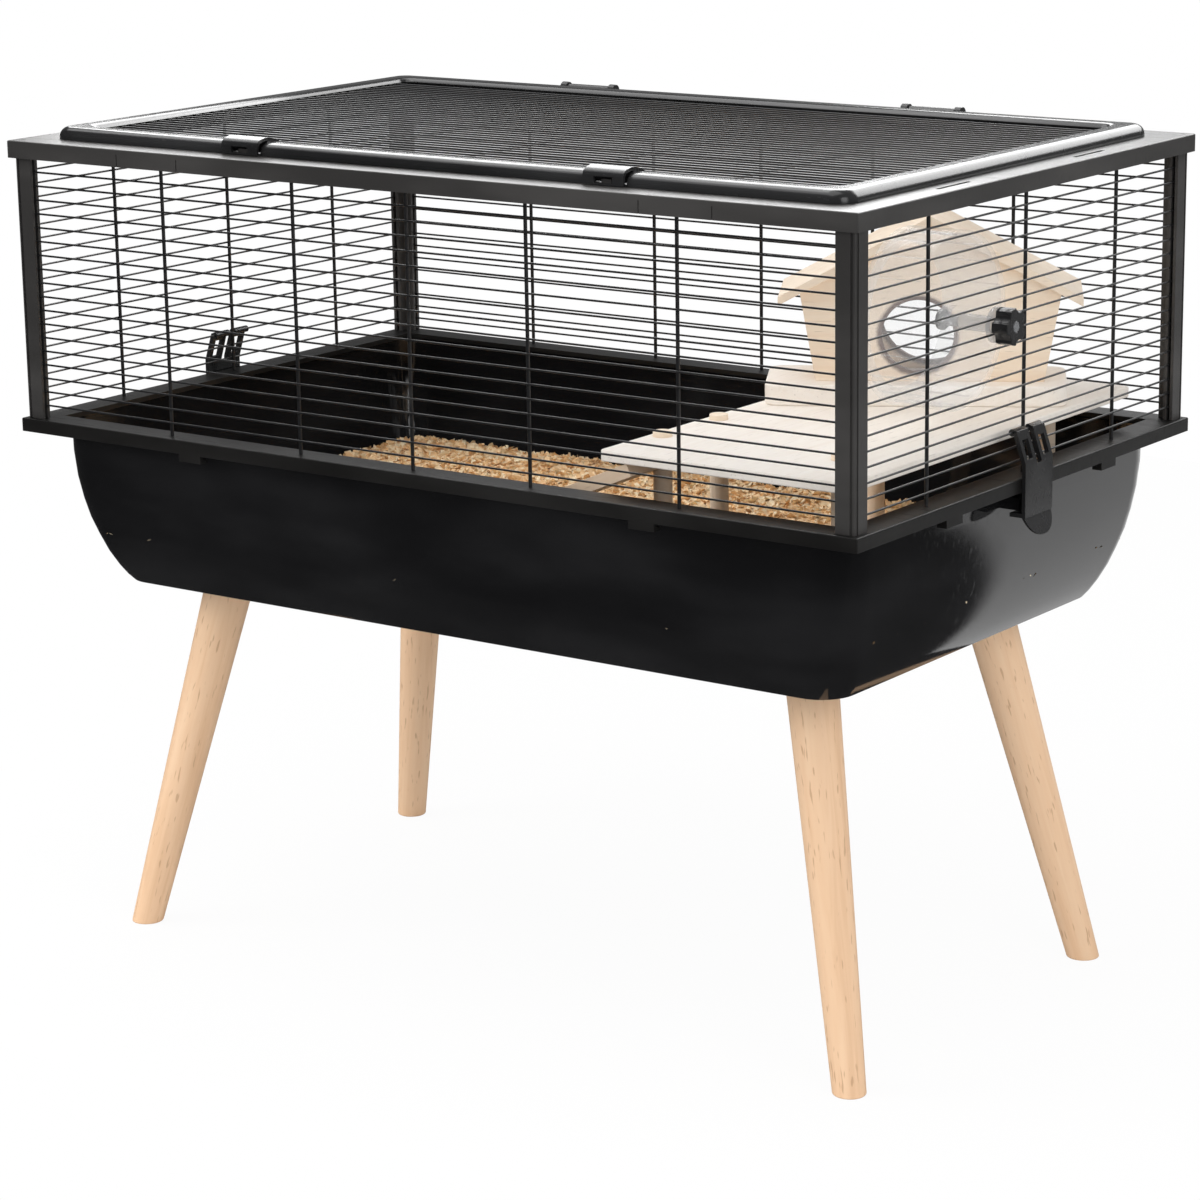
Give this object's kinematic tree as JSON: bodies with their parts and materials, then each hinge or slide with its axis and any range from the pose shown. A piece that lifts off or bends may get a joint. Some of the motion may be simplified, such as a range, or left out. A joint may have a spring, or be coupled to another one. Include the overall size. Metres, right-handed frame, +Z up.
{
  "type": "small animal cage",
  "caption": "Small animal cage: deep tub on splayed wooden legs, wire sides between corner posts, hinged wire lid with clips, end latches, shelf, ramp, house and clear running wheel.",
  "frame": {"origin": "on the floor under the middle of the cage", "axes": "+X along the long front to the right, +Y to the hinged back, +Z up"},
  "size_m": [0.7978, 0.485, 0.6646],
  "materials": {
    "tub_plastic": "glossy black moulding",
    "frame_plastic": "satin black moulding",
    "lid_plastic": "glossy black moulding",
    "clip_plastic": "glossy black moulding",
    "wire": "black coated steel wire",
    "steel": "bright zinc-plated steel",
    "beech": "clear-oiled beech",
    "pale_wood": "sanded pale poplar board",
    "shavings": "loose wood shavings",
    "clear_plastic": "clear moulded plastic"
  },
  "bodies": {
    "cage": {"base_tub": "tub_plastic", "bedding": "shavings", "leg_front_left": "beech", "leg_front_right": "beech", "leg_back_left": "beech", "leg_back_right": "beech", "leg_studs": "steel", "leg_inserts": "steel", "bottom_rail_front": "frame_plastic", "top_rail_front": "frame_plastic", "wires_front": "wire", "bottom_rail_back": "frame_plastic", "top_rail_back": "frame_plastic", "wires_back": "wire", "bottom_rail_left": "frame_plastic", "top_rail_left": "frame_plastic", "wires_left": "wire", "bottom_rail_right": "frame_plastic", "top_rail_right": "frame_plastic", "wires_right": "wire", "post_front_left": "frame_plastic", "post_front_right": "frame_plastic", "post_back_left": "frame_plastic", "post_back_right": "frame_plastic", "hinge_brackets": "clip_plastic", "hinge_pins": "steel", "shelf_board": "pale_wood", "shelf_dowels": "pale_wood", "ramp": "pale_wood", "house_base": "pale_wood", "house_front_wall": "pale_wood", "house_back_wall": "pale_wood", "house_left_wall": "pale_wood", "house_right_wall": "pale_wood", "house_roof_left": "pale_wood", "house_roof_right": "pale_wood", "wheel_axle": "clear_plastic", "wheel_retainer": "clip_plastic"},
    "lid": {"lid_frame": "lid_plastic", "lid_wires": "wire"},
    "clip_left": {"lid_clip_left": "clip_plastic"},
    "clip_right": {"lid_clip_right": "clip_plastic"},
    "latch_left": {"end_latch_left": "clip_plastic"},
    "latch_right": {"end_latch_right": "clip_plastic"},
    "wheel": {"exercise_wheel": "clear_plastic"},
    "knob": {"wheel_knob": "clip_plastic"}
  },
  "joints": [
    {"name": "lid_hinge", "type": "hinge", "parent": "cage", "child": "lid", "pos_m": [0, 0.225, 0.6573], "axis": [-1, 0, 0], "range_deg": [0, 110]},
    {"name": "clip_left_turn", "type": "hinge", "parent": "lid", "child": "clip_left", "pos_m": [-0.168, -0.206, 0.6572], "axis": [-1, 0, 0], "range_deg": [0, 60]},
    {"name": "clip_right_turn", "type": "hinge", "parent": "lid", "child": "clip_right", "pos_m": [0.168, -0.206, 0.6572], "axis": [-1, 0, 0], "range_deg": [0, 60]},
    {"name": "latch_left_swing", "type": "hinge", "parent": "cage", "child": "latch_left", "pos_m": [-0.382, 0, 0.46402], "axis": [0, 1, 0], "range_deg": [0, 100]},
    {"name": "latch_right_swing", "type": "hinge", "parent": "cage", "child": "latch_right", "pos_m": [0.382, 0, 0.46402], "axis": [0, -1, 0], "range_deg": [0, 100]},
    {"name": "wheel_spin", "type": "hinge", "parent": "cage", "child": "wheel", "pos_m": [0.327, -0.04, 0.54557], "axis": [1, 0, 0], "continuous": true},
    {"name": "knob_turn", "type": "hinge", "parent": "cage", "child": "knob", "pos_m": [0.39, -0.04, 0.54557], "axis": [1, 0, 0], "continuous": true}
  ]
}
